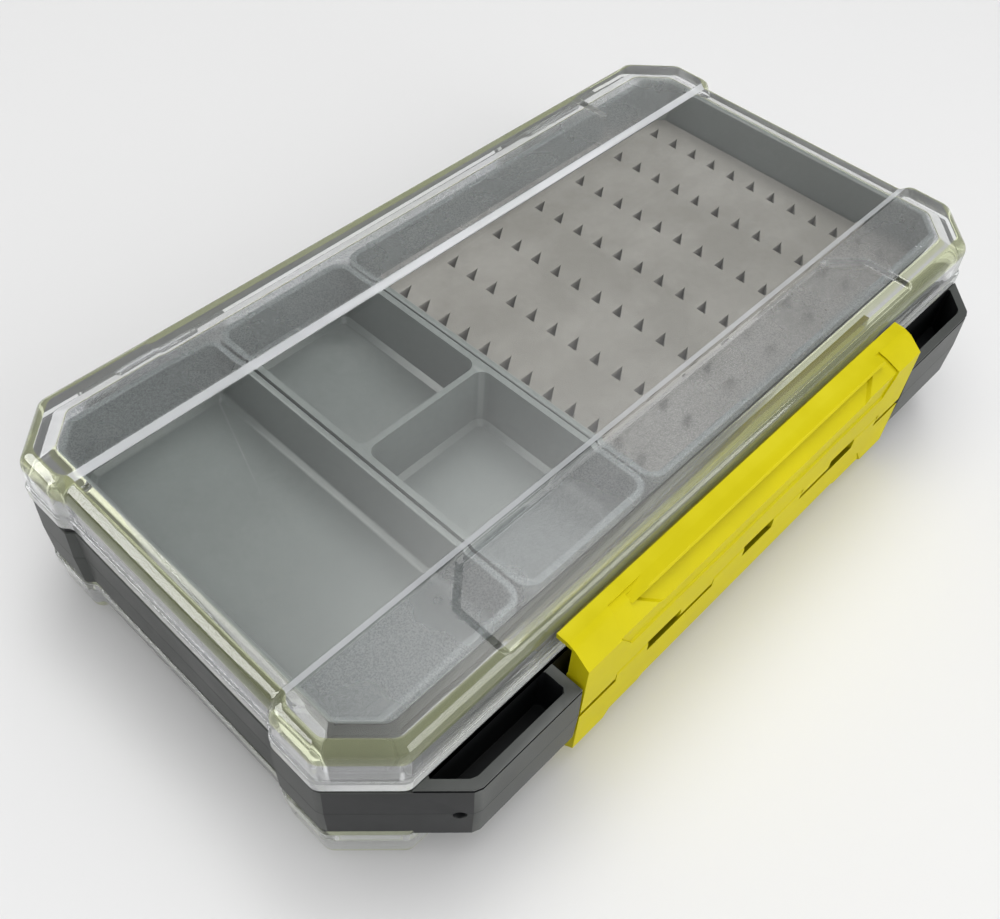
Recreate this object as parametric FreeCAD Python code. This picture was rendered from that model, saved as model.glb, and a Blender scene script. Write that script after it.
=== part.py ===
import math
import os

import FreeCAD
import Part

# Sizes in millimetres. The box is drawn about its own middle: x along its
# length, minus y the latch side, z = 0 halfway up the closed box.

# Frame
half_length = 94.0
half_width = 49.4
corner_leg = 10.2
frame_half_height = 8.5
frame_draft = 0.25
corner_flat = 0.8
web_half = 0.9
end_wall = 6.0
rail_width = 7.6
opening_leg = 5.8
lip_thickness = 1.5
lip_rise = 2.0
waist_from_side = 22.4
waist_depth = 1.5
waist_slope_share = 1.0

# Shelf pockets and lanyard hole
pocket_wall = 2.1
pocket_end_wall = 1.9
pocket_corner = 0.7
pocket_depth = 11.3
pocket_web = 1.8
hole_radius = 1.2
hole_from_corner = 2.95
hole_drop = 0.7
hole_length = 6.0

# Seals
seal_inset = 0.55
seal_inner_inset = 4.0
seal_height = 1.0

# Lids
lid_gap = 0.3
lid_height = 10.9
flange_height = 2.5
wall_inset = 0.6
shoulder_radius = 3.0
band_from_side = 21.9
band_slope = 1.4
band_drop = 0.9
cavity_inset_x = 3.8
cavity_inset_y = 3.4
cavity_leg = 8.0
cavity_bevel = 3.0
roof_thickness = 2.4
pad_drop = 0.7
pad_from_end = 33.5
pad_taper = 6.5
pad_width = 18.8
pad_end_width = 13.0
pad_slope = 1.2
catch_height = 2.7
catch_depth = 0.9
catch_play = 0.5

# Lift-out bins and mats
bin_play = 0.3
module_gap = 0.5
bin_wall = 1.3
bin_round = 3.6
bin_floor_bevel = 1.1
rim_gap = 0.6
large_bin_length = 38.05
split_bin_length = 32.7
mat_play = 0.25
mat_thickness = 4.6
slit_depth = 3.2
slit_length = 3.5
slit_width = 2.3
slit_pitch_x = 14.4
lower_slit_pitch_x = 18.0
slit_pitch_y = 5.96
slit_margin = 4.55
lower_slit_margin = 9.9
slit_far_margin = 5.0
slit_side_margin = 6.0

# Latches, all about one pin. Sections are y outward from the lid's side,
# z above the lid's flange, and ends are x inward from the latch's end.
latch_from_end = 42.1
latch_end_gap = 0.5
notch_step = 0.1
pin_reach = 4.9
face_setback = 0.1
face_reach = 2.5
face_rise = 2.3
sweep_reach = 2.95
pin_radius = 0.9
pin_end_inset = 3.9
running_fit = 0.05
lug_radius = 1.7
knuckle_gap = 0.3
knuckle_shares = (0.09, 0.282, 0.475, 0.646, 0.818)
latch_section = ((4.2, 4.9), (2.4, 5.6), (0.1, 5.7), (0.1, 0.4), (1.4, 0.4), (3.3, -1.9))
relief_section = ((3.5, -3.0), (3.5, 4.5), (-1.0, 4.5), (-1.0, -3.0))
relief_length = 3.0
nib_section = ((0.6, 2.0), (0.1, 2.0), (-1.0, 1.6), (-1.0, 0.4), (0.6, 0.4))
nib_end_inset = 4.0
panel_section = ((2.4, 5.1), (4.0, 4.5), (7.0, 2.0), (7.0, -2.5), (7.4, -2.8), (9.4, -2.8),
                 (9.4, 6.2), (2.4, 6.2))
panel_ends = ((11.9, -2.8), (8.3, 2.4), (9.9, 5.4), (9.9, 6.2))
hollow_section = ((2.9, 4.0), (4.7, 3.1), (7.0, 1.2), (9.4, 1.2), (9.4, 6.2), (2.9, 6.2))
hollow_ends = ((20.0, 1.2), (14.0, 4.5), (14.0, 6.2))
lip_section = ((2.0, 4.4), (2.4, 5.6), (4.5, 5.5), (4.9, 5.1), (4.7, 4.4))
lip_left_inset = 13.7
lip_right_inset = 11.3
lip_ramp = 5.0

# Hinges
hinge_reach = 2.5
hinge_drop = 3.2
hinge_radius = 2.2
hinge_pin_radius = 0.9
hinge_from_end = 36.0
lid_knuckle_half = 9.0
frame_knuckle_length = 7.0
strap_reach = 2.2

# Every cut runs past its surface by this much.
overrun = 1.0

diagonal_share = math.sqrt(0.5)
leg_share = 2 - math.sqrt(2)
flat_share = math.sqrt(2) - 1
lid_base = frame_half_height + lid_gap
lid_top = lid_base + lid_height
flange_top = lid_base + flange_height
band_top = lid_top - band_drop
cavity_top = lid_top - roof_thickness
rim_height = cavity_top - rim_gap
pocket_floor = frame_half_height - pocket_depth
pin_line_y = -half_width - pin_reach
front_reach = half_width + pin_reach + face_reach + face_setback
shelf_reach = front_reach - half_width
notch_face = half_width + notch_step
latch_half_length = half_length - latch_from_end
notch_half_length = latch_half_length + latch_end_gap
nib_half_length = latch_half_length - nib_end_inset
pin_half_length = latch_half_length - pin_end_inset
opening_half_length = half_length - end_wall
opening_half_width = half_width - rail_width
hinge_line_y = half_width + hinge_reach
hinge_line_z = frame_half_height - hinge_drop
hinge_centre_x = half_length - hinge_from_end
back_reach = hinge_line_y + hinge_radius
shift_y = (front_reach - back_reach) / 2


def spot(x, y, z):
    return FreeCAD.Vector(x, y, z)


def closed(points):
    return Part.makePolygon(points + points[:1])


def prism(outline, low, high):
    wire = closed([spot(x, y, low) for x, y in outline])
    return Part.Face(wire).extrude(spot(0, 0, high - low))


def bar(profile, left, right):
    wire = closed([spot(left, y, z) for y, z in profile])
    return Part.Face(wire).extrude(spot(right - left, 0, 0))


def slab(x, y, z):
    size = [high - low for low, high in (x, y, z)]
    return Part.makeBox(size[0], size[1], size[2], spot(x[0], y[0], z[0]))


def rod(radius, y, z, left, right):
    return Part.makeCylinder(radius, right - left, spot(left, y, z), spot(1, 0, 0))


def one(pieces):
    body = pieces[0]
    for piece in pieces[1:]:
        body = body.fuse(piece)
    return body.removeSplitter()


def flipped(shape):
    return shape.mirror(spot(0, 0, 0), spot(0, 0, 1))


def both_ends(shape):
    return [shape, shape.mirror(spot(0, 0, 0), spot(1, 0, 0))]


def octagon(reach, front, back, front_leg, back_leg):
    return [(-reach, -front + front_leg), (-reach + front_leg, -front),
            (reach - front_leg, -front), (reach, -front + front_leg),
            (reach, back - back_leg), (reach - back_leg, back),
            (-reach + back_leg, back), (-reach, back - back_leg)]


def lid_outline(inset):
    leg = corner_leg - leg_share * inset
    width = half_width - inset
    return octagon(half_length - inset, width, width, leg, leg)


def frame_outline(inset):
    back_leg = corner_leg - leg_share * inset
    return octagon(half_length - inset, front_reach - inset, half_width - inset,
                   back_leg + shelf_reach, back_leg)


def opening_outline(grow):
    leg = opening_leg + leg_share * grow
    width = opening_half_width + grow
    return octagon(opening_half_length + grow, width, width, leg, leg)


def rounded_wire(outline, radius, height):
    # Square corners become arcs, and slanted ones stay sharp.
    starts, ends, arcs = [], [], []
    count = len(outline)
    points = [spot(x, y, height) for x, y in outline]
    for i in range(count):
        here = points[i]
        to_before = (points[i - 1] - here).normalize()
        to_after = (points[(i + 1) % count] - here).normalize()
        slanted = to_before.dot(to_after) < -flat_share
        along = 0 if slanted else radius
        starts.append(here + to_before * along)
        ends.append(here + to_after * along)
        centre = starts[i] + to_after * along
        middle = centre - (to_before + to_after).normalize() * along
        arcs.append(None if slanted else Part.Arc(starts[i], middle, ends[i]).toShape())
    parts = []
    for i in range(count):
        parts += [arcs[i]] if arcs[i] else []
        parts.append(Part.makeLine(ends[i], starts[(i + 1) % count]))
    return Part.Wire(parts)


def rounded_prism(outline, radius, low, high):
    face = Part.Face(rounded_wire(outline, radius, low))
    return face.extrude(spot(0, 0, high - low))


def eased(outline, size, height):
    # The same outline with a small flat across each corner.
    points = []
    count = len(outline)
    for i in range(count):
        here = spot(outline[i][0], outline[i][1], height)
        for near in (outline[i - 1], outline[(i + 1) % count]):
            way = (spot(near[0], near[1], height) - here).normalize()
            points.append(here + way * size)
    return closed(points)


def knuckle(base, line_y, line_z, reach, left, right):
    # Half an octagon about its pin line, on a block that grows from the base.
    flat = reach * flat_share
    way = math.copysign(1, line_y - base)
    profile = [(base, line_z - reach), (line_y + way * flat, line_z - reach),
               (line_y + way * reach, line_z - flat), (line_y + way * reach, line_z + flat),
               (line_y + way * flat, line_z + reach), (base, line_z + reach)]
    return bar(profile, left, right)


def edges_at(shape, height):
    found = []
    for edge in shape.Edges:
        box = edge.BoundBox
        if abs(box.ZMin - height) < running_fit and abs(box.ZMax - height) < running_fit:
            found.append(edge)
    return found


def waist(depth, low, high):
    # The shallow recess in the middle of each short side.
    inner = half_length - depth
    outer = half_length + overrun
    half = half_width - waist_from_side
    spread = half + (outer - inner) * waist_slope_share
    outline = [(inner, -half), (outer, -spread), (outer, spread), (inner, half)]
    return both_ends(prism(outline, low, high))


def shelf_pocket():
    corner_line = half_length + half_width - corner_leg - pocket_wall / diagonal_share
    front = front_reach - pocket_wall
    inner = notch_half_length + pocket_end_wall
    outline = [(notch_face - corner_line, -notch_face), (front - corner_line, -front),
               (-inner, -front), (-inner, -notch_face)]
    past = frame_half_height + overrun
    base = pocket_floor - pocket_web
    upper = Part.Face(eased(outline, pocket_corner, pocket_floor))
    upper = upper.extrude(spot(0, 0, past - pocket_floor))
    lower = Part.Face(eased(outline, pocket_corner, base))
    lower = lower.extrude(spot(0, 0, -past - base))
    return both_ends(upper) + both_ends(lower)


def lanyard_hole():
    along = hole_from_corner * diagonal_share
    corner_x = half_length - corner_leg - shelf_reach
    start = spot(-corner_x - along, -front_reach + along, -hole_drop)
    way = spot(diagonal_share, diagonal_share, 0)
    return Part.makeCylinder(hole_radius, hole_length, start - way * overrun, way)


def frame_knuckles():
    pieces = []
    for side in (-1, 1):
        for end in (-1, 1):
            near = lid_knuckle_half + knuckle_gap
            far = near + frame_knuckle_length
            left, right = sorted((side * hinge_centre_x + end * near,
                                  side * hinge_centre_x + end * far))
            pieces.append(knuckle(half_width - overrun, hinge_line_y, hinge_line_z,
                                  hinge_radius, left, right))
    return pieces + [flipped(piece) for piece in pieces]


def latch_lugs():
    inner, _, slot_near, slot_far, _ = [latch_half_length * share for share in knuckle_shares]
    half_gap = knuckle_gap / 2
    spans = [(half_gap - inner, inner - half_gap),
             (slot_near + half_gap, slot_far - half_gap),
             (half_gap - slot_far, -slot_near - half_gap)]
    return [knuckle(overrun - notch_face, pin_line_y, 0, lug_radius, left, right)
            for left, right in spans]


def hinge_pin(radius, play):
    reach = lid_knuckle_half + knuckle_gap + frame_knuckle_length + play
    pins = []
    for side in (-1, 1):
        centre = side * hinge_centre_x
        for height in (hinge_line_z, -hinge_line_z):
            pins.append(rod(radius, hinge_line_y, height, centre - reach, centre + reach))
    return pins


def make_frame():
    top = eased(frame_outline(frame_draft), corner_flat, frame_half_height)
    middle = eased(frame_outline(0), corner_flat, 0)
    upper = Part.makeLoft([middle, top], True, True)
    body = one([upper, flipped(upper)])
    rim = frame_half_height + lip_rise
    lip = prism(opening_outline(lip_thickness), -rim, rim)
    body = body.fuse(lip)
    well = prism(opening_outline(0), web_half, rim + overrun)
    past = frame_half_height + overrun
    notch = slab((-notch_half_length, notch_half_length),
                 (-front_reach - overrun, -notch_face), (-past, past))
    cuts = [well, flipped(well), notch]
    cuts += waist(waist_depth, -past, past)
    cuts += shelf_pocket()
    cuts.append(lanyard_hole())
    floor = frame_half_height - seal_height
    groove = prism(lid_outline(0), floor, past)
    groove = groove.cut(prism(lid_outline(seal_inner_inset), floor - overrun, past + overrun))
    cuts += [groove, flipped(groove)]
    for cut in cuts:
        body = body.cut(cut)
    body = one([body] + frame_knuckles() + latch_lugs())
    bores = hinge_pin(hinge_pin_radius + running_fit, running_fit)
    bores.append(rod(pin_radius + running_fit, pin_line_y, 0, -pin_half_length, pin_half_length))
    for bore in bores:
        body = body.cut(bore)
    return body


def make_seal():
    low = frame_half_height - seal_height
    ring = prism(lid_outline(seal_inset), low, frame_half_height)
    past = frame_half_height + overrun
    ring = ring.cut(prism(lid_outline(seal_inner_inset), low - overrun, past))
    for cut in waist(waist_depth + seal_inset, low - overrun, past):
        ring = ring.cut(cut)
    return ring


def lid_shell():
    body = prism(lid_outline(wall_inset), lid_base, lid_top)
    body = body.makeFillet(shoulder_radius, edges_at(body, lid_top))
    flange = prism(lid_outline(0), lid_base, flange_top)
    band_reach = half_length - waist_depth - wall_inset
    band_half = half_width - band_from_side
    channel = [(-band_half, lid_base - overrun), (band_half, lid_base - overrun),
               (band_half, band_top), (band_half + band_slope, lid_top),
               (band_half + band_slope, lid_top + overrun),
               (-band_half - band_slope, lid_top + overrun),
               (-band_half - band_slope, lid_top), (-band_half, band_top)]
    body = body.cut(bar(channel, -half_length, half_length))
    band = slab((-band_reach, band_reach), (-band_half - lid_gap, band_half + lid_gap),
                (lid_base, band_top))
    ends = [edge for edge in edges_at(band, band_top) if edge.BoundBox.XLength < overrun]
    band = band.makeFillet(shoulder_radius, ends)
    body = one([body, flange, band])
    for cut in waist(waist_depth, lid_base - overrun, flange_top):
        body = body.cut(cut)
    for cut in waist(waist_depth + wall_inset, flange_top, lid_top + overrun):
        body = body.cut(cut)
    return body


def rail_pad():
    # The shallow recess in the middle of each long rail, with sloped sides.
    low = lid_top - pad_drop
    high = lid_top + overrun
    grow = pad_slope * (high - low) / pad_drop
    levels = []
    for height, spread in ((low, 0), (high, grow)):
        outer = half_length - pad_from_end + spread
        inner = outer - pad_taper
        edge = pad_width - half_width + spread
        turn = pad_end_width - half_width + spread
        outline = [(-outer, -half_width - overrun), (outer, -half_width - overrun),
                   (outer, turn), (inner, edge), (-inner, edge), (-outer, turn)]
        levels.append(closed([spot(x, y, height) for x, y in outline]))
    pad = Part.makeLoft(levels, True, True)
    return [pad, pad.mirror(spot(0, 0, 0), spot(0, 1, 0))]


def make_lid():
    body = lid_shell()
    reach = half_length - cavity_inset_x
    width = half_width - cavity_inset_y
    inside = prism(octagon(reach, width, width, cavity_leg, cavity_leg),
                   lid_base - overrun, cavity_top)
    inside = inside.makeChamfer(cavity_bevel, edges_at(inside, cavity_top))
    wall_face = half_width - wall_inset
    catch_half = nib_half_length + catch_play
    catch = slab((-catch_half, catch_half), (-wall_face - overrun, -wall_face + catch_depth),
                 (flange_top, flange_top + catch_height))
    for cut in [inside, catch] + rail_pad():
        body = body.cut(cut)
    strap = [(half_width - overrun, lid_base), (half_width + lid_gap, lid_base),
             (half_width + lid_gap, hinge_line_z), (back_reach, hinge_line_z),
             (half_width + strap_reach, flange_top), (half_width - overrun, flange_top)]
    straps = []
    for side in (-1, 1):
        left = side * hinge_centre_x - lid_knuckle_half
        right = side * hinge_centre_x + lid_knuckle_half
        straps.append(one([bar(strap, left, right),
                           rod(hinge_radius, hinge_line_y, hinge_line_z, left, right)]))
    body = one([body] + straps)
    for bore in hinge_pin(hinge_pin_radius + running_fit, running_fit):
        body = body.cut(bore)
    return body


def beside_lid(section):
    return [(-half_width - y, flange_top + z) for y, z in section]


def in_front(section, outline):
    # A bar along the latch, cut to an outline that is drawn as the front shows it.
    long_bar = bar(beside_lid(section), -latch_half_length, latch_half_length)
    wire = closed([spot(x, -front_reach - overrun, flange_top + z) for x, z in outline])
    return long_bar.common(Part.Face(wire).extrude(spot(0, front_reach, 0)))


def finger_recess(section, ends):
    right = [(latch_half_length - x, z) for x, z in ends]
    left = [(-x, z) for x, z in reversed(right)]
    return in_front(section, right + left)


def finger_lip():
    # A ridge over the hollow, with a ramp at its left end.
    heights = [z for _, z in lip_section]
    low, high = min(heights), max(heights)
    left = lip_left_inset - latch_half_length
    right = latch_half_length - lip_right_inset
    return in_front(lip_section, [(left, low), (right, low), (right, high), (left + lip_ramp, high)])


def end_relief():
    # The ends of the latch are a thin shell over the lid.
    inner = latch_half_length - relief_length
    return both_ends(bar(beside_lid(relief_section), -latch_half_length - overrun, -inner))


def sweep_room(left, right):
    # Room for the other latch's round knuckles to turn in.
    leg = sweep_reach * (1 - flat_share)
    around = octagon(sweep_reach, sweep_reach, sweep_reach, leg, leg)
    return bar([(pin_line_y + y, z) for y, z in around], left, right)


def make_latch(own, others):
    # own and others are spans along the pin, on the right half of the latch.
    face = pin_line_y - face_reach
    profile = [(face, 0), (face, flange_top + face_rise)] + beside_lid(latch_section)
    profile.append((profile[-1][0], 0))
    body = bar(profile, -latch_half_length, latch_half_length)
    cuts = [finger_recess(panel_section, panel_ends), finger_recess(hollow_section, hollow_ends)]
    for cut in cuts + end_relief():
        body = body.cut(cut)
    pieces = [body, finger_lip(), bar(beside_lid(nib_section), -nib_half_length, nib_half_length)]
    for left, right in own:
        pieces += both_ends(rod(face_reach, pin_line_y, 0, left, right))
    body = one(pieces)
    for left, right in others:
        for cut in both_ends(sweep_room(left, right)):
            body = body.cut(cut)
    reach = pin_half_length + running_fit
    return body.cut(rod(pin_radius + running_fit, pin_line_y, 0, -reach, reach))


def latch_pair():
    ends = [latch_half_length * share for share in knuckle_shares]
    slot, low_end, high_end, slot_end, last = ends
    half_gap = knuckle_gap / 2
    upper_own = [(low_end + half_gap, high_end - half_gap),
                 (last + half_gap, latch_half_length)]
    upper_free = [(-half_gap, low_end + half_gap), (high_end - half_gap, last + half_gap)]
    lower_own = [(slot + half_gap, low_end - half_gap),
                 (slot_end + half_gap, last - half_gap)]
    lower_free = [(-half_gap, slot + half_gap), (low_end - half_gap, slot_end + half_gap),
                  (last - half_gap, latch_half_length + overrun)]
    return make_latch(upper_own, upper_free), flipped(make_latch(lower_own, lower_free))


def panel(x, y, left_leg, right_leg):
    # A rectangle whose left or right corners may be cut off at 45 degrees.
    (left, right), (front, back) = x, y
    points = [(left, front + left_leg)]
    if left_leg:
        points.append((left + left_leg, front))
    points.append((right - right_leg, front))
    if right_leg:
        points.append((right, front + right_leg))
        points.append((right, back - right_leg))
    points.append((right - right_leg, back))
    if left_leg:
        points.append((left + left_leg, back))
    points.append((left, back - left_leg))
    return points


def bin_outline(x, y, ends, inset):
    leg = opening_leg - leg_share * (bin_play + inset)
    legs = [leg if end else 0 for end in ends]
    x = (x[0] + inset, x[1] - inset)
    y = (y[0] + inset, y[1] - inset)
    return panel(x, y, legs[0], legs[1])


def make_tray(x, ends, rows=1):
    width = opening_half_width - bin_play
    outline = bin_outline(x, (-width, width), ends, 0)
    body = rounded_prism(outline, bin_round, web_half, rim_height)
    floor = web_half + bin_wall
    step = (2 * width - bin_wall) / rows
    for row in range(rows):
        front = -width + row * step
        outline = bin_outline(x, (front, front + step + bin_wall), ends, bin_wall)
        room = rounded_prism(outline, bin_round - bin_wall, floor, rim_height + overrun)
        room = room.makeChamfer(bin_floor_bevel, edges_at(room, floor))
        body = body.cut(room)
    return body


def make_mat(x, ends, margin, pitch):
    # As many rows of slits as the mat has room for, counted from its right end.
    width = opening_half_width - bin_play
    inset = bin_wall + mat_play
    floor = web_half + bin_wall
    outline = bin_outline(x, (-width, width), ends, inset)
    top = floor + mat_thickness
    body = rounded_prism(outline, bin_round - inset, floor, top)
    body = body.makeChamfer(bin_floor_bevel, edges_at(body, floor))
    first = x[1] - inset - margin - slit_length
    rows = int((first - x[0] - inset - slit_far_margin) / pitch) + 1
    across = int(2 * (width - inset - slit_side_margin) / slit_pitch_y) + 1
    slits = []
    for row in range(rows):
        left = first - row * pitch
        for place in range(across):
            middle = (place - (across - 1) / 2) * slit_pitch_y
            outline = [(left, middle - slit_width / 2), (left + slit_length, middle + slit_width / 2),
                       (left, middle + slit_width / 2)]
            slits.append(prism(outline, top - slit_depth, top + overrun))
    return body.cut(Part.makeCompound(slits))


def turned(shape):
    shape = shape.copy()
    shape.rotate(spot(0, 0, 0), spot(0, 0, 1), 180)
    return shape


def export(name, pieces):
    shape = pieces[0] if len(pieces) == 1 else Part.makeCompound(pieces)
    shape = shape.copy()
    shape.translate(spot(0, shift_y, lid_top))
    shape.exportStep("parts/" + name + ".step")
    print(name, len(shape.Solids), "solid", round(shape.Volume), "mm3", shape.isValid())


def build():
    os.makedirs("parts", exist_ok=True)
    end = opening_half_length - bin_play
    half_gap = module_gap / 2
    export("frame", [make_frame()])
    seal = make_seal()
    export("top_seal", [seal])
    export("bottom_seal", [flipped(seal)])
    lid = make_lid()
    export("top_lid", [lid])
    export("bottom_lid", [flipped(lid)])
    export("hinge_pins", hinge_pin(hinge_pin_radius, 0))
    upper, lower = latch_pair()
    export("upper_latch", [upper])
    export("lower_latch", [lower])
    export("latch_pin", [rod(pin_radius, pin_line_y, 0, -pin_half_length, pin_half_length)])
    first_split = large_bin_length - opening_half_length
    second_split = first_split + split_bin_length
    export("large_bin", [make_tray((-end, first_split - half_gap), (True, False))])
    middle = (first_split + half_gap, second_split - half_gap)
    export("split_bin", [make_tray(middle, (False, False), 2)])
    wide = (second_split + half_gap, end)
    export("slit_tray", [make_tray(wide, (False, True))])
    export("slit_mat", [make_mat(wide, (False, True), slit_margin, slit_pitch_x)])
    half = (-end, -half_gap)
    tray = flipped(make_tray(half, (True, False)))
    mat = flipped(make_mat(half, (True, False), lower_slit_margin, lower_slit_pitch_x))
    export("lower_left_tray", [tray])
    export("lower_right_tray", [turned(tray)])
    export("lower_left_mat", [mat])
    export("lower_right_mat", [turned(mat)])


build()
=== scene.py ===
import math

import bmesh
import bpy
from mathutils import Matrix, Vector


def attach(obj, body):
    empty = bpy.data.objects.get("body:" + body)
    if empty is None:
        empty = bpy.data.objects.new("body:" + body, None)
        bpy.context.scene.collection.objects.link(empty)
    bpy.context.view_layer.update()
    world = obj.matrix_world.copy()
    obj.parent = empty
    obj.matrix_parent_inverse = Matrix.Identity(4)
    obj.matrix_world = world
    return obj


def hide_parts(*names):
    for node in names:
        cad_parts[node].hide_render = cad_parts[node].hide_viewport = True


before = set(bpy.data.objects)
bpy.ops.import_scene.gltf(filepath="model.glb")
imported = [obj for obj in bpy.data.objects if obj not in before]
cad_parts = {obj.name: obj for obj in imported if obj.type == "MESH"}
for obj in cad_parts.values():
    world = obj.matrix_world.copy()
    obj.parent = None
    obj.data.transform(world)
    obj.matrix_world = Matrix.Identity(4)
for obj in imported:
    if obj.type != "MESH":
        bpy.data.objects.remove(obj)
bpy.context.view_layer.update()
print("frame loaded:", len(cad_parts), "nodes")

mm = 0.001
boxMiddle = Vector((0, 1.4, 19.7))  # middle of the closed box above the floor, in mm


# helpers for nodes

def setInputs(tree, node, values):
    # a socket is linked, anything else becomes the input's own value
    for key, value in values.items():
        if isinstance(value, bpy.types.NodeSocket):
            tree.links.new(value, node.inputs[key])
        else:
            node.inputs[key].default_value = value
    return node


def addNode(tree, kind, values=None, **settings):
    node = tree.nodes.new("ShaderNode" + kind)
    for key, value in settings.items():
        setattr(node, key, value)
    return setInputs(tree, node, values or {})


def addNoise(tree, place, scale, detail, rough=0.5):
    noise = addNode(tree, "TexNoise", {"Vector": place, "Scale": scale, "Detail": detail,
                                       "Roughness": rough})
    return noise.outputs["Fac"]


def addRange(tree, value, taken, given=(0.0, 1.0)):
    spread = addNode(tree, "MapRange", {"Value": value, "From Min": taken[0], "From Max": taken[1],
                                        "To Min": given[0], "To Max": given[1]})
    return spread.outputs["Result"]


def addMath(tree, operation, *values):
    return addNode(tree, "Math", dict(enumerate(values)), operation=operation).outputs[0]


def blendColors(tree, factor, first, second):
    return addNode(tree, "Mix", {"Factor": factor, 6: first, 7: second}, data_type="RGBA").outputs[2]


def newGroup(name, ins):
    group = bpy.data.node_groups.new(name, "ShaderNodeTree")
    for label, kind, value in ins:
        socket = group.interface.new_socket(label, in_out="INPUT", socket_type="NodeSocket" + kind)
        socket.default_value = value
    for label, kind in (("Color", "Color"), ("Roughness", "Float"), ("Normal", "Vector")):
        group.interface.new_socket(label, in_out="OUTPUT", socket_type="NodeSocket" + kind)
    return group, group.nodes.new("NodeGroupInput"), group.nodes.new("NodeGroupOutput")


def newMaterial(name):
    material = bpy.data.materials.new(name)
    material.use_nodes = True
    tree = material.node_tree
    return material, tree, tree.nodes["Principled BSDF"]


def wearGroup(tree, shader, group, values):
    # the group's colour, roughness and normal drive the shader
    look = tree.nodes.new("ShaderNodeGroup")
    look.node_tree = group
    setInputs(tree, look, values)
    setInputs(tree, shader, {"Base Color": look.outputs["Color"],
                             "Roughness": look.outputs["Roughness"],
                             "Normal": look.outputs["Normal"]})


# moulded plastic: fine grain, cloudy tone, rubbed edges

plasticWear = {
    "cloudScale": 45.0, "cloudDetail": 4.0, "cloudRough": 0.6, "cloudRange": (0.3, 0.7),
    "grainDetail": 3.0, "grainRough": 0.55, "bump": 0.0001,
    "edges": (0.52, 0.62), "patches": (0.4, 0.65), "shade": (0.93, 1.06),
}


def mouldedGroup(s):
    group, ins, outs = newGroup("mouldedPlastic", [
        ("Tone", "Color", (0.5, 0.5, 0.5, 1)), ("Rubbed", "Color", (0.7, 0.7, 0.7, 1)),
        ("Grain Size", "Float", 3000.0), ("Grain Depth", "Float", 0.1),
        ("Rough Low", "Float", 0.4), ("Rough High", "Float", 0.55)])
    place = addNode(group, "TexCoord").outputs["Object"]
    cloud = addNoise(group, place, s["cloudScale"], s["cloudDetail"], s["cloudRough"])
    grain = addNoise(group, place, ins.outputs["Grain Size"], s["grainDetail"], s["grainRough"])
    edge = addNode(group, "NewGeometry").outputs["Pointiness"]
    rub = addMath(group, "MULTIPLY", addRange(group, edge, s["edges"]),
                  addRange(group, cloud, s["patches"]))
    shade = addRange(group, cloud, s["cloudRange"], s["shade"])
    tone = addNode(group, "VectorMath", {0: ins.outputs["Tone"], "Scale": shade}, operation="SCALE")
    rough = addRange(group, cloud, s["cloudRange"],
                     (ins.outputs["Rough Low"], ins.outputs["Rough High"]))
    bump = addNode(group, "Bump", {"Strength": ins.outputs["Grain Depth"], "Distance": s["bump"],
                                   "Height": grain})
    setInputs(group, outs, {
        "Color": blendColors(group, rub, tone.outputs[0], ins.outputs["Rubbed"]),
        "Roughness": rough, "Normal": bump.outputs["Normal"]})
    return group


finishes = {
    "charcoalFrame": {"tone": (0.060, 0.064, 0.061), "rubbed": (0.16, 0.165, 0.16),
                      "grainSize": 2600.0, "grainDepth": 0.25, "rough": (0.36, 0.5),
                      "specular": 0.16},
    "slateBin": {"tone": (0.182, 0.203, 0.202), "rubbed": (0.29, 0.31, 0.31),
                 "grainSize": 2200.0, "grainDepth": 0.18, "rough": (0.36, 0.5), "specular": 0.5},
    "taupeMat": {"tone": (0.27, 0.257, 0.24), "rubbed": (0.33, 0.315, 0.30),
                 "grainSize": 3400.0, "grainDepth": 0.5, "rough": (0.8, 0.95), "specular": 0.25},
    "yellowLatch": {"tone": (0.57, 0.495, 0.002), "rubbed": (0.63, 0.56, 0.015),
                    "grainSize": 2400.0, "grainDepth": 0.12, "rough": (0.4, 0.52),
                    "specular": 0.06},
    # painted shade: a near-black finish for the pocket insides and the groove under the frame's top
    # edge, where shade falls
    "paintedShadeBlack": {"tone": (0.010, 0.011, 0.012), "rubbed": (0.03, 0.03, 0.03),
                    "grainSize": 2600.0, "grainDepth": 0.1, "rough": (0.4, 0.55),
                    "specular": 0.3},
    "blackSeal": {"tone": (0.012, 0.012, 0.013), "rubbed": (0.05, 0.05, 0.05),
                  "grainSize": 3000.0, "grainDepth": 0.3, "rough": (0.6, 0.8), "specular": 0.5},
}


def mouldedMaterial(name, setup, group):
    material, tree, shader = newMaterial(name)
    wearGroup(tree, shader, group, {
        "Tone": (*setup["tone"], 1), "Rubbed": (*setup["rubbed"], 1),
        "Grain Size": setup["grainSize"], "Grain Depth": setup["grainDepth"],
        "Rough Low": setup["rough"][0], "Rough High": setup["rough"][1]})
    shader.inputs["Specular IOR Level"].default_value = setup["specular"]
    return material


# turned steel: fine streaks in the gloss

pinFinish = {"tone": (0.56, 0.56, 0.55), "rough": (0.2, 0.34), "turning": 1400.0, "detail": 2.0}


def pinMaterial(s):
    material, tree, shader = newMaterial("turnedPin")
    place = addNode(tree, "TexCoord").outputs["Object"]
    streaks = addNoise(tree, place, s["turning"], s["detail"])
    setInputs(tree, shader, {"Base Color": (*s["tone"], 1), "Metallic": 1.0,
                             "Roughness": addRange(tree, streaks, (0.0, 1.0), s["rough"])})
    return material


# lid plastic: clear top, frosted rail ceilings, olive shoulders, milky walls, and pale slopes whose
# whiter, more opaque plastic is a painted highlight along the band's edges

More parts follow.
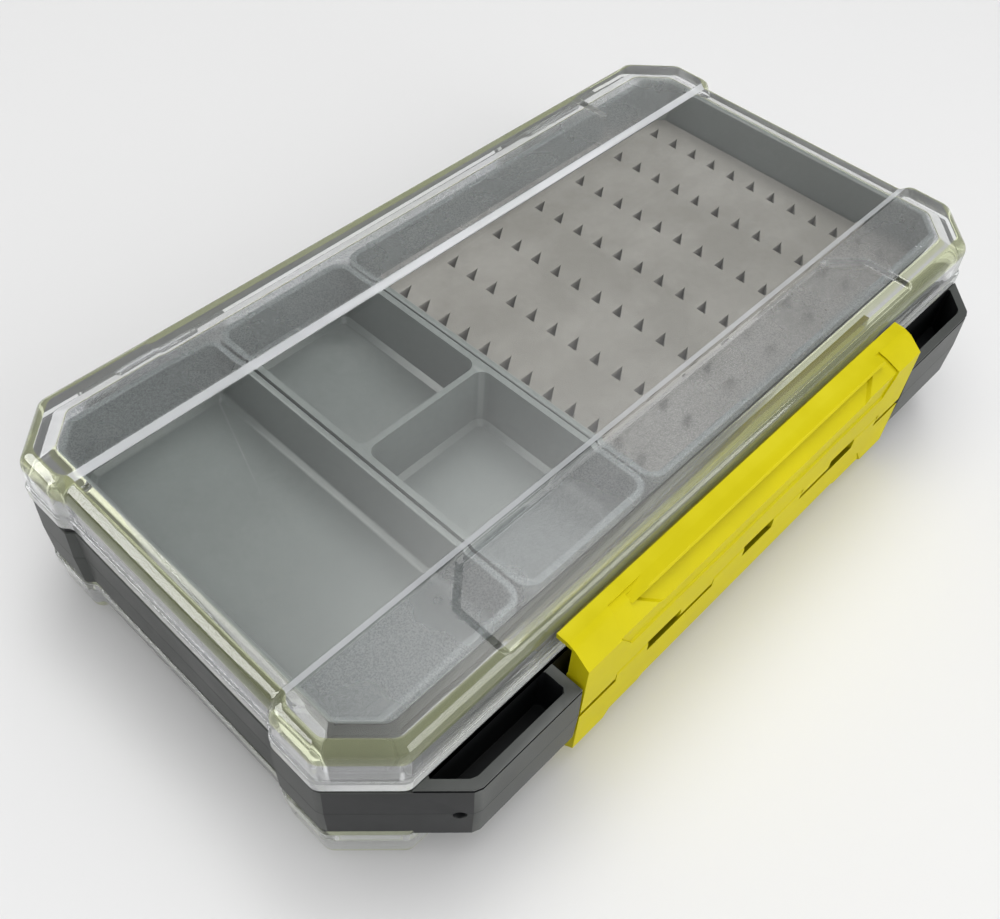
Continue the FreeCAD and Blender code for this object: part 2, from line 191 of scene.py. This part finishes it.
lidFinish = {
    "clear": {"tint": (0.97, 0.975, 0.965), "second": (0.94, 0.95, 0.94),
              "rough": (0.012, 0.04), "grain": 900.0, "depth": 0.006, "scratches": 0.1,
              "through": 1.0},
    "frosted": {"tint": (0.79, 0.81, 0.85), "second": (0.36, 0.38, 0.42), "rough": (0.24, 0.3),
                "grain": 4200.0, "depth": 0.12, "scratches": 0.0, "through": 0.98},
    "shoulder": {"tint": (0.83, 0.88, 0.5), "second": (0.79, 0.84, 0.44), "rough": (0.06, 0.09),
                 "grain": 45.0, "depth": 0.002, "scratches": 0.1, "through": 0.86},
    "wall": {"tint": (0.94, 0.95, 0.98), "second": (0.89, 0.91, 0.88), "rough": (0.02, 0.05),
             "grain": 45.0, "depth": 0.002, "scratches": 0.1, "through": 0.84},
    # painted highlight: the band's slopes get a whiter, more opaque plastic so they read as bright
    # lines
    "edge": {"tint": (0.95, 0.96, 1.0), "second": (0.86, 0.88, 0.90), "rough": (0.04, 0.08),
             "grain": 90.0, "depth": 0.002, "scratches": 0.1, "through": 0.55},
}
lidPart = {look: index for index, look in enumerate(lidFinish)}  # the lid's material slots
lidPlastic = {
    "index": 1.5, "shade": (0.96, 0.965, 0.95),
    "hazeScale": 60.0, "hazeDetail": 4.0, "hazeRange": (0.3, 0.7),
    "grainDetail": 2.0, "flecks": (0.38, 0.62), "bump": 0.0001,
}
scratchSetup = {
    "lines": ({"turn": 0.7, "stretch": (60.0, 900.0, 60.0), "rarity": 0.62},
              {"turn": -0.5, "stretch": (50.0, 1100.0, 50.0), "rarity": 0.66}),
    "thin": (0.77, 0.79), "patchScale": 55.0, "patchDetail": 1.0, "fade": 0.06,
}


def scratchMask(tree, place, s):
    # a few long thin lines in two directions
    masks = []
    for line in s["lines"]:
        turned = addNode(tree, "Mapping", {"Vector": place, "Rotation": (0.0, 0.0, line["turn"]),
                                           "Scale": line["stretch"]}).outputs[0]
        thin = addRange(tree, addNoise(tree, turned, 1.0, 0.0), s["thin"])
        patches = addNoise(tree, place, s["patchScale"], s["patchDetail"])
        rare = addRange(tree, patches, (line["rarity"] - s["fade"], line["rarity"]))
        masks.append(addMath(tree, "MULTIPLY", thin, rare))
    return addMath(tree, "MAXIMUM", *masks)


def lidGroup(s):
    group, ins, outs = newGroup("lidSurface", [
        ("Tint", "Color", (1, 1, 1, 1)), ("Second", "Color", (0.9, 0.9, 0.9, 1)),
        ("Grain Size", "Float", 900.0), ("Grain Depth", "Float", 0.1),
        ("Rough Low", "Float", 0.02), ("Rough High", "Float", 0.05), ("Scratches", "Float", 0.3)])
    place = addNode(group, "TexCoord").outputs["Object"]
    haze = addNoise(group, place, s["hazeScale"], s["hazeDetail"])
    grain = addNoise(group, place, ins.outputs["Grain Size"], s["grainDetail"])
    scratch = addMath(group, "MULTIPLY", scratchMask(group, place, scratchSetup),
                      ins.outputs["Scratches"])
    fleck = addRange(group, grain, s["flecks"])
    rough = addRange(group, haze, s["hazeRange"],
                     (ins.outputs["Rough Low"], ins.outputs["Rough High"]))
    bump = addNode(group, "Bump", {"Strength": ins.outputs["Grain Depth"], "Distance": s["bump"],
                                   "Height": grain})
    setInputs(group, outs, {
        "Color": blendColors(group, fleck, ins.outputs["Tint"], ins.outputs["Second"]),
        "Roughness": addMath(group, "ADD", rough, scratch), "Normal": bump.outputs["Normal"]})
    return group


def lidMaterial(name, setup, group):
    material, tree, shader = newMaterial(name)
    wearGroup(tree, shader, group, {
        "Tint": (*setup["tint"], 1), "Second": (*setup["second"], 1),
        "Grain Size": setup["grain"], "Grain Depth": setup["depth"],
        "Rough Low": setup["rough"][0], "Rough High": setup["rough"][1],
        "Scratches": setup["scratches"]})
    shader.inputs["IOR"].default_value = lidPlastic["index"]
    shader.inputs["Transmission Weight"].default_value = setup["through"]
    path = addNode(tree, "LightPath")  # light falls through the lid onto what is in the box
    falls = addMath(tree, "MAXIMUM", path.outputs["Is Shadow Ray"], path.outputs["Is Diffuse Ray"])
    through = addNode(tree, "BsdfTransparent", {"Color": (*lidPlastic["shade"], 1)})
    mix = addNode(tree, "MixShader", {0: falls, 1: shader.outputs[0], 2: through.outputs[0]})
    tree.links.new(mix.outputs[0], tree.nodes["Material Output"].inputs["Surface"])
    return material


moulded = mouldedGroup(plasticWear)
lidSurface = lidGroup(lidPlastic)
materials = {name: mouldedMaterial(name, setup, moulded) for name, setup in finishes.items()}
materials["turnedPin"] = pinMaterial(pinFinish)
for name, setup in lidFinish.items():
    materials[name + "Lid"] = lidMaterial(name + "Lid", setup, lidSurface)
print("materials ready")


# helpers for meshes, which are drawn in mm about the middle of the box

meshSetup = {
    "same": 0.01, "cutSlack": 0.0001,  # closer than these counts as the same place
    "mergeWithin": 0.000002, "flatWithin": 1,  # for a copy of the frame's meshes
    "crease": 30, "smoothBelow": 35, "faceWeight": 100,
}
touch = meshSetup["same"]


def outlineFace(bm, points, height):
    face = bm.faces.new([bm.verts.new((x, y, height)) for x, y in points])
    face.normal_update()
    return face


def growRings(bm, face, steps):
    # each step is (inward, up); returns the loop edges that the rings run along
    loops = set(face.edges)
    for inward, up in steps:
        bmesh.ops.inset_region(bm, faces=[face], thickness=inward, depth=up,
                               use_even_offset=True, use_boundary=True)
        loops.update(face.edges)
    return loops


def arcSteps(radius, turn, count):
    # steps that turn a wall towards a roof along an arc of so many degrees
    steps = []
    for i in range(count):
        low, high = (math.radians(turn) * k / count for k in (i, i + 1))
        steps.append((radius * (math.cos(low) - math.cos(high)),
                      radius * (math.sin(high) - math.sin(low))))
    return steps


def ramp(value, soft):
    # 0 below 0 and 1 above 1, eased over soft at both bends
    return sum(min(max(value + shift, 0), 1) for shift in (-soft, 0, 0, soft)) / 4


def sharpEdges(bm, limit):
    return [edge for edge in bm.edges if len(edge.link_faces) == 2
            and edge.calc_face_angle(0) > math.radians(limit)]


def roundEdges(bm, edges, width, segments):
    bmesh.ops.bevel(bm, geom=edges, offset=width, segments=segments, profile=0.5,
                    affect="EDGES", clamp_overlap=True, material=-1)


def cutAlong(bm, faces, place, direction):
    # a straight cut through some of the faces; returns them with the new ones
    edges = dict.fromkeys(edge for face in faces for edge in face.edges)
    verts = dict.fromkeys(vert for face in faces for vert in face.verts)
    cut = bmesh.ops.bisect_plane(bm, geom=[*verts, *edges, *faces], dist=meshSetup["cutSlack"],
                                 plane_co=place, plane_no=direction)
    return [item for item in cut["geom"] if isinstance(item, bmesh.types.BMFace)]


def closeHoles(bm, normal):
    rims = [edge for edge in bm.edges if edge.is_boundary]
    bmesh.ops.triangle_fill(bm, use_beauty=True, use_dissolve=True, edges=rims, normal=normal)


def cadCopy(node):
    bm = bmesh.new()
    bm.from_mesh(bpy.data.objects[node].data)
    bmesh.ops.remove_doubles(bm, verts=bm.verts, dist=meshSetup["mergeWithin"])
    bmesh.ops.dissolve_limit(bm, angle_limit=math.radians(meshSetup["flatWithin"]),
                             verts=bm.verts, edges=bm.edges)
    bmesh.ops.scale(bm, verts=bm.verts, vec=(1 / mm, 1 / mm, 1 / mm))
    bmesh.ops.translate(bm, verts=bm.verts, vec=-boxMiddle)
    return bm


def addPiece(bm, name, body, finish, replaced):
    bmesh.ops.translate(bm, verts=bm.verts, vec=boxMiddle)
    bmesh.ops.scale(bm, verts=bm.verts, vec=(mm, mm, mm))
    mesh = bpy.data.meshes.new(name)
    bm.to_mesh(mesh)
    bm.free()
    mesh.shade_smooth()
    mesh.set_sharp_from_angle(angle=math.radians(meshSetup["smoothBelow"]))
    for look in finish:
        mesh.materials.append(materials[look])
    piece = bpy.data.objects.new(name, mesh)
    bpy.context.collection.objects.link(piece)
    flat = piece.modifiers.new("flatFaces", "WEIGHTED_NORMAL")
    flat.keep_sharp = True
    flat.weight = meshSetup["faceWeight"]
    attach(piece, body)
    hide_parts(*replaced)


# clear lids

lidSizes = {
    "halfLength": 94.0, "halfWidth": 49.4, "cornerLeg": 10.2, "base": 8.8, "top": 19.7,
    "waistHalf": 27.2, "waistDepth": 1.5, "wallInset": 0.6, "draft": 0.15,
    "flangeTop": 11.3, "flangeRound": 0.3, "flangeSteps": 3, "rimSteps": 2, "rimCrease": 60,
    "shoulder": 3.4, "shoulderTurn": 80, "shoulderSteps": 8,
    "cornerRound": 0.9, "cornerSteps": 4, "soft": 0.3, "softSteps": 2,
    "bandHalf": 27.5, "bandSlope": 1.4, "bandDrop": 0.9,
    "padHalf": 60.5, "padTaper": 6.5, "padNear": 30.6, "padTurn": 36.4, "padSlope": 1.2,
    "padDrop": 0.7,
    "roomX": 90.2, "roomY": 46.0, "roomLeg": 8.0, "roomTop": 17.3, "roomBevel": 3.1,
    "roomCorner": 0.8, "roomSteps": 3,
    "catchHalf": 48.4, "catchTop": 14.0, "catchDepth": 0.9, "frontFacing": -0.9,
    "hingeCut": 49.8, "hingeRound": 0.25, "hingeSteps": 2,
}


def lidOutline(s):
    x, y, leg = s["halfLength"], s["halfWidth"], s["cornerLeg"]
    half, depth = s["waistHalf"], s["waistDepth"]
    side = [(x, leg - y), (x, -half - depth), (x - depth, -half), (x - depth, half),
            (x, half + depth), (x, y - leg)]
    other = [(-px, py) for px, py in reversed(side)]
    return [(leg - x, -y), (x - leg, -y)] + side + [(x - leg, y), (leg - x, y)] + other


def lowerBand(bm, s, shoulderBase):
    # the flat band between the rails lies lower than they do
    inner, outer, soft = s["bandHalf"], s["bandHalf"] + s["bandSlope"], s["soft"]
    for y in [bend + shift for bend in (inner, outer) for shift in (-soft, 0, soft)]:
        for side in (-1, 1):
            cutAlong(bm, bm.faces[:], (0, side * y, 0), (0, 1, 0))
    for face in bm.faces:
        middle = face.calc_center_median()
        if inner < abs(middle.y) < outer and middle.z > s["top"] - touch:
            # the slopes take the pale plastic, a painted highlight along the band's edges
            face.material_index = lidPart["edge"]
    for v in bm.verts:
        if v.co.z > shoulderBase - touch:
            share = ramp((outer - abs(v.co.y)) / s["bandSlope"], soft / s["bandSlope"])
            v.co.z -= s["bandDrop"] * share


def lowerPads(bm, s, shoulderBase):
    # the shallow recess in the middle of each rail, with sloped ends
    corner = Vector((s["padHalf"], s["padTurn"]))
    slant = Vector((s["padNear"] - s["padTurn"], s["padTaper"])).normalized()
    slope, soft = s["padSlope"], s["soft"]
    for side in (-1, 1):
        faces = [f for f in bm.faces if f.calc_center_median().z > shoulderBase
                 and side * f.calc_center_median().y > s["bandHalf"] + s["bandSlope"]]
        for bend in (0, slope):
            for spread in (bend - soft, bend, bend + soft):
                faces = cutAlong(bm, faces, (0, side * (s["padNear"] - spread), 0), (0, 1, 0))
                place = corner - slant * spread
                for end in (-1, 1):
                    faces = cutAlong(bm, faces, (end * (corner.x + spread), 0, 0), (1, 0, 0))
                    faces = cutAlong(bm, faces, (end * place.x, side * place.y, 0),
                                     (end * slant.x, side * slant.y, 0))
    for v in bm.verts:
        place = Vector((abs(v.co.x), abs(v.co.y)))
        inside = min(place.y - s["padNear"], corner.x - place.x, (place - corner).dot(slant))
        if v.co.z > shoulderBase and inside > -slope - 2 * soft:
            depth = s["padDrop"] * ramp((inside + slope) / slope, soft / slope)
            v.co.z = min(v.co.z, s["top"] - depth)


def sinkCatch(bm, s, shoulderBase):
    # the groove in the front wall that the latch's catch reaches into
    wall = [f for f in bm.faces if f.normal.y < s["frontFacing"]
            and s["flangeTop"] - touch < min(v.co.z for v in f.verts)
            and max(v.co.z for v in f.verts) < shoulderBase + touch]
    for x in (-s["catchHalf"], s["catchHalf"]):
        wall = cutAlong(bm, wall, (x, 0, 0), (1, 0, 0))
    wall = cutAlong(bm, wall, (0, 0, s["catchTop"]), (0, 0, 1))
    inside = [f for f in wall if abs(f.calc_center_median().x) < s["catchHalf"]
              and f.calc_center_median().z < s["catchTop"]]
    moved = bmesh.ops.extrude_face_region(bm, geom=inside)["geom"]
    bmesh.ops.delete(bm, geom=inside, context="FACES")
    bmesh.ops.translate(bm, verts=[v for v in moved if isinstance(v, bmesh.types.BMVert)],
                        vec=(0, s["catchDepth"], 0))


def addRoom(bm, s):
    # the hollow inside, with a wide bevel round its ceiling
    x, y, leg = s["roomX"], s["roomY"], s["roomLeg"]
    outline = [(leg - x, -y), (x - leg, -y), (x, leg - y), (x, y - leg), (x - leg, y),
               (leg - x, y), (-x, y - leg), (-x, leg - y)]
    face = outlineFace(bm, outline, s["base"])
    before = set(bm.edges) - set(face.edges)
    loops = growRings(bm, face, [(0, s["roomTop"] - s["roomBevel"] - s["base"]),
                                 (s["roomBevel"], s["roomBevel"])])
    corners = [edge for edge in bm.edges if edge not in before and edge not in loops]
    roundEdges(bm, corners, s["roomCorner"], s["roomSteps"])
    bends = [edge for edge in bm.edges if edge not in before and not edge.is_boundary
             and abs(edge.verts[0].co.z - edge.verts[1].co.z) < touch]
    roundEdges(bm, bends, s["soft"], s["softSteps"])


def closeRim(bm, s):
    # the flat foot of the lid, between the outside and the room
    closeHoles(bm, (0, 0, -1))
    for face in bm.faces:
        if abs(face.calc_center_median().z - s["base"]) < touch:
            face.material_index = lidPart["wall"]
    bmesh.ops.recalc_face_normals(bm, faces=bm.faces)
    foot = [edge for edge in sharpEdges(bm, s["rimCrease"])
            if all(abs(v.co.z - s["base"]) < touch for v in edge.verts)]
    roundEdges(bm, foot, s["flangeRound"], s["rimSteps"])


def frostCeiling(bm, s):
    # the ceiling under the rails is frosted, the band between them is clear
    start = s["bandHalf"] + s["bandSlope"]
    for y in (-start, start):
        ceiling = [f for f in bm.faces
                   if abs(f.calc_center_median().z - s["roomTop"]) < touch]
        cutAlong(bm, ceiling, (0, y, 0), (0, 1, 0))
    for face in bm.faces:
        middle = face.calc_center_median()
        if abs(middle.z - s["roomTop"]) < touch and abs(middle.y) > start:
            face.material_index = lidPart["frosted"]


def lidShell(s):
    bm = bmesh.new()
    face = outlineFace(bm, lidOutline(s), s["base"])
    shoulder = arcSteps(s["shoulder"], s["shoulderTurn"], s["shoulderSteps"])
    shoulderBase = s["top"] - sum(up for inward, up in shoulder)
    flange = arcSteps(s["flangeRound"], 90, s["flangeSteps"])
    wall = [(s["wallInset"] - s["flangeRound"] - s["draft"], 0),
            (s["draft"], shoulderBase - s["flangeTop"])]
    loops = growRings(bm, face, [(0, s["flangeTop"] - s["flangeRound"] - s["base"])]
                      + flange + wall + shoulder)
    mitres = [edge for edge in bm.edges if edge not in loops]
    roundEdges(bm, mitres, s["cornerRound"], s["cornerSteps"])
    for face in bm.faces:
        middle = face.calc_center_median()
        if middle.z < s["top"] - touch:
            face.material_index = lidPart["shoulder" if middle.z > shoulderBase else "wall"]
    lowerBand(bm, s, shoulderBase)
    lowerPads(bm, s, shoulderBase)
    sinkCatch(bm, s, shoulderBase)
    addRoom(bm, s)
    closeRim(bm, s)
    frostCeiling(bm, s)
    return bm


def lidHinges(node, s):
    # the straps and knuckles on the back of a lid, cut from the frame's own shape
    bm = cadCopy(node)
    bmesh.ops.bisect_plane(bm, geom=bm.verts[:] + bm.edges[:] + bm.faces[:],
                           dist=meshSetup["cutSlack"], plane_co=(0, s["hingeCut"], 0),
                           plane_no=(0, 1, 0), clear_inner=True)
    closeHoles(bm, (0, -1, 0))
    bmesh.ops.recalc_face_normals(bm, faces=bm.faces)
    roundEdges(bm, sharpEdges(bm, meshSetup["crease"]), s["hingeRound"], s["hingeSteps"])
    for face in bm.faces:
        face.material_index = lidPart["wall"]
    mesh = bpy.data.meshes.new("straps")
    bm.to_mesh(mesh)
    bm.free()
    return mesh


for side, name, node in ((1, "topLid", "top_lid"), (-1, "bottomLid", "bottom_lid")):
    bm = lidShell(lidSizes)
    if side < 0:
        bmesh.ops.scale(bm, verts=bm.verts, vec=(1, 1, -1))
        bmesh.ops.reverse_faces(bm, faces=bm.faces)
    straps = lidHinges(node, lidSizes)
    bm.from_mesh(straps)
    bpy.data.meshes.remove(straps)
    addPiece(bm, name, node, [look + "Lid" for look in lidFinish], [node])
print("lids ready")


# the other pieces carry over the frame's own shapes with soft edges

softEdges = {
    "frame": {"finish": ["charcoalFrame", "paintedShadeBlack"], "width": 0.25, "segments": 2},
    "seal": {"finish": ["blackSeal"], "width": 0.1, "segments": 1},
    "latch": {"finish": ["yellowLatch"], "width": 0.35, "segments": 3},
    "pin": {"finish": ["turnedPin"], "width": 0.15, "segments": 2},
    "bin": {"finish": ["slateBin"], "width": 0.35, "segments": 3},
    "mat": {"finish": ["taupeMat"], "width": 0.12, "segments": 1},
}
softPieces = {
    "boxFrame": {"node": "frame", "body": "box", "kind": "frame"},
    "topSeal": {"node": "top_seal", "body": "box", "kind": "seal"},
    "bottomSeal": {"node": "bottom_seal", "body": "box", "kind": "seal"},
    "upperLatch": {"node": "upper_latch", "body": "upper_latch", "kind": "latch"},
    "lowerLatch": {"node": "lower_latch", "body": "lower_latch", "kind": "latch"},
    "hingePins": {"node": "hinge_pins", "body": "box", "kind": "pin"},
    "latchPin": {"node": "latch_pin", "body": "box", "kind": "pin"},
    "largeBin": {"node": "large_bin", "body": "box", "kind": "bin"},
    "splitBin": {"node": "split_bin", "body": "box", "kind": "bin"},
    "slitTray": {"node": "slit_tray", "body": "box", "kind": "bin"},
    "lowerLeftTray": {"node": "lower_left_tray", "body": "box", "kind": "bin"},
    "lowerRightTray": {"node": "lower_right_tray", "body": "box", "kind": "bin"},
    "slitMat": {"node": "slit_mat", "body": "box", "kind": "mat"},
    "lowerLeftMat": {"node": "lower_left_mat", "body": "box", "kind": "mat"},
    "lowerRightMat": {"node": "lower_right_mat", "body": "box", "kind": "mat"},
}
crumbs = 0.001  # an edge shorter than this, in mm, is dissolved
seamLines = {
    # the upper groove is painted near black as a shadow line under the lid's flange; the lower one
    # is the parting line in the frame's own colour
    "grooves": ({"low": 7.6, "high": 8.2, "depth": 0.6, "finish": "paintedShadeBlack"},
                {"low": -0.08, "high": 0.08, "depth": 0.12, "finish": "charcoalFrame"}),
    "sideStart": 92.0, "backFace": 49.4, "waistEnd": 30.0, "near": 0.7,
    "steepest": 0.3, "backFacing": 0.9,
    "pocketX": 54.2, "pocketY": (-54.9, -49.4), "pocketTop": 8.2,
}


def outerWalls(bm, s):
    # the upright faces round the outside of the frame, the waists with them
    found = []
    for face in bm.faces:
        middle, away = face.calc_center_median(), face.normal
        if abs(away.z) > s["steepest"]:
            continue
        reach = max(v.co.dot(away) for v in bm.verts) - middle.dot(away)
        waist = abs(middle.x) > s["sideStart"] - s["near"] and abs(middle.y) < s["waistEnd"]
        back = away.y > s["backFacing"] and abs(middle.y - s["backFace"]) < s["near"]
        if reach < s["near"] or waist or back:
            found.append(face)
    return found


def cutSeam(bm, walls, seam, finish):
    # a narrow groove all round, between two heights, in the seam's finish (near-black painted shade
    # for the upper groove)
    for height in (seam["low"], seam["high"]):
        walls = cutAlong(bm, walls, (0, 0, height), (0, 0, 1))
    strip = [f for f in walls if seam["low"] < f.calc_center_median().z < seam["high"]]
    sides = bmesh.ops.inset_region(bm, faces=strip, thickness=0, depth=-seam["depth"],
                                   use_even_offset=True, use_boundary=True)["faces"]
    for face in strip + sides:
        face.material_index = finish.index(seam["finish"])
    return [f for f in walls if f not in set(strip)]


# painted shade: faces inside the latch pockets get the near-black finish, darker than the frame
# around them
def paintShadeInPockets(bm, s, finish):
    low, high = s["pocketY"]
    for face in bm.faces:
        middle = face.calc_center_median()
        outside = abs(middle.x) > s["pocketX"] and abs(middle.z) < s["pocketTop"]
        if outside and low < middle.y < high:
            face.material_index = finish.index("paintedShadeBlack")


for name, setup in softPieces.items():
    bm = cadCopy(setup["node"])
    soft = softEdges[setup["kind"]]
    roundEdges(bm, sharpEdges(bm, meshSetup["crease"]), soft["width"], soft["segments"])
    bmesh.ops.dissolve_degenerate(bm, dist=crumbs, edges=bm.edges)
    if setup["kind"] == "frame":
        walls = outerWalls(bm, seamLines)
        for seam in seamLines["grooves"]:
            walls = cutSeam(bm, walls, seam, soft["finish"])
        # painted shade in the latch pockets
        paintShadeInPockets(bm, seamLines, soft["finish"])
    addPiece(bm, name, setup["body"], soft["finish"], [setup["node"]])
print("frame, latches, bins and mats ready")


# floor

floorSetup = {"size": 3.0, "tone": (0.78, 0.78, 0.78), "rough": (0.5, 0.6), "specular": 0.15,
              "cloudScale": 8.0, "cloudDetail": 3.0}


def floorMaterial(s):
    material, tree, shader = newMaterial("paperFloor")
    place = addNode(tree, "TexCoord").outputs["Object"]
    cloud = addNoise(tree, place, s["cloudScale"], s["cloudDetail"])
    setInputs(tree, shader, {"Base Color": (*s["tone"], 1), "Specular IOR Level": s["specular"],
                             "Roughness": addRange(tree, cloud, (0.0, 1.0), s["rough"])})
    return material


def addFloor(s):
    bm = bmesh.new()
    bmesh.ops.create_grid(bm, x_segments=1, y_segments=1, size=s["size"])
    mesh = bpy.data.meshes.new("floor")
    bm.to_mesh(mesh)
    bm.free()
    mesh.materials.append(floorMaterial(s))
    floor = bpy.data.objects.new("floor", mesh)
    bpy.context.collection.objects.link(floor)


# light: a world that is brighter in front, a soft glow high up, and five lamps

lightSetup = {
    "world": (0.17, 0.58), "brightSide": (0.3, -0.65, 0.3), "turnover": (-0.7, 0.7),
    "glow": {"direction": (0.4145, 0.2204, 0.8829), "tightness": 44.0, "strength": 4.4},
    "lamps": {
        "overhead": {"place": (-0.02, 0.1, 1.1), "size": 1.2, "power": 6.6, "shows": "diffuse"},
        "fill": {"place": (-0.08, -1.0, 0.45), "size": 0.7, "power": 4.2, "shows": "diffuse"},
        "backLeft": {"place": (-0.93, 0.87, 0.7), "size": 0.9, "power": 24, "shows": "glossy"},
        "frontRight": {"place": (0.68, -0.425, 0.89), "size": 0.4, "power": 1.4,
                       "shows": "glossy"},
        "frontLow": {"place": (0.42, -0.94, 0.38), "size": 0.7, "power": 8, "shows": "glossy"},
    },
}


def facing(tree, ray, direction):
    return addNode(tree, "VectorMath", {0: ray, 1: direction},
                   operation="DOT_PRODUCT").outputs["Value"]


def addWorld(s):
    world = bpy.data.worlds.new("studio")
    bpy.context.scene.world = world
    world.use_nodes = True
    tree, glow = world.node_tree, s["glow"]
    ray = addNode(tree, "TexCoord").outputs["Generated"]
    studio = addRange(tree, facing(tree, ray, s["brightSide"]), s["turnover"], s["world"])
    ahead = addMath(tree, "MAXIMUM", facing(tree, ray, glow["direction"]), 0.0)
    patch = addMath(tree, "POWER", ahead, glow["tightness"])
    total = addMath(tree, "MULTIPLY_ADD", patch, glow["strength"], studio)
    setInputs(tree, tree.nodes["Background"], {"Color": (1, 1, 1, 1), "Strength": total})


def addLamp(name, setup):
    data = bpy.data.lights.new(name, "AREA")
    data.shape = "SQUARE"
    data.size = setup["size"]
    data.energy = setup["power"]
    lamp = bpy.data.objects.new(name, data)
    lamp.visible_diffuse = setup["shows"] == "diffuse"
    lamp.visible_glossy = setup["shows"] == "glossy"
    lamp.visible_transmission = False
    place = Vector(setup["place"])
    turn = (-place).to_track_quat("-Z", "Y").to_matrix().to_4x4()
    lamp.matrix_world = Matrix.Translation(place) @ turn
    bpy.context.collection.objects.link(lamp)


# camera and view

cameraSetup = {
    "place": (-0.128688, -0.099160, 0.189016), "heading": 40.451, "down": 50.2975,
    "roll": 4.1886, "lens": 39.887, "sensor": 36, "nearest": 0.01,
}
viewSetup = {"transform": "Standard", "bounces": 14, "throughGlass": 12, "throughClear": 16}


def addCamera(s):
    data = bpy.data.cameras.new("camera")
    data.sensor_width = s["sensor"]
    data.lens = s["lens"]
    data.clip_start = s["nearest"]
    camera = bpy.data.objects.new("camera", data)
    turn = (Matrix.Rotation(math.radians(s["heading"] - 90), 4, "Z")
            @ Matrix.Rotation(math.radians(90 - s["down"]), 4, "X")
            @ Matrix.Rotation(math.radians(s["roll"]), 4, "Z"))
    camera.matrix_world = Matrix.Translation(s["place"]) @ turn
    bpy.context.collection.objects.link(camera)
    bpy.context.scene.camera = camera


def setView(s):
    scene = bpy.context.scene
    scene.view_settings.view_transform = s["transform"]
    scene.cycles.max_bounces = s["bounces"]
    scene.cycles.transmission_bounces = s["throughGlass"]
    scene.cycles.transparent_max_bounces = s["throughClear"]
    scene.cycles.caustics_reflective = False
    scene.cycles.caustics_refractive = False
    scene.cycles.use_denoising = True


addFloor(floorSetup)
addWorld(lightSetup)
for name, setup in lightSetup["lamps"].items():
    addLamp(name, setup)
addCamera(cameraSetup)
setView(viewSetup)
print("floor, light and camera ready")
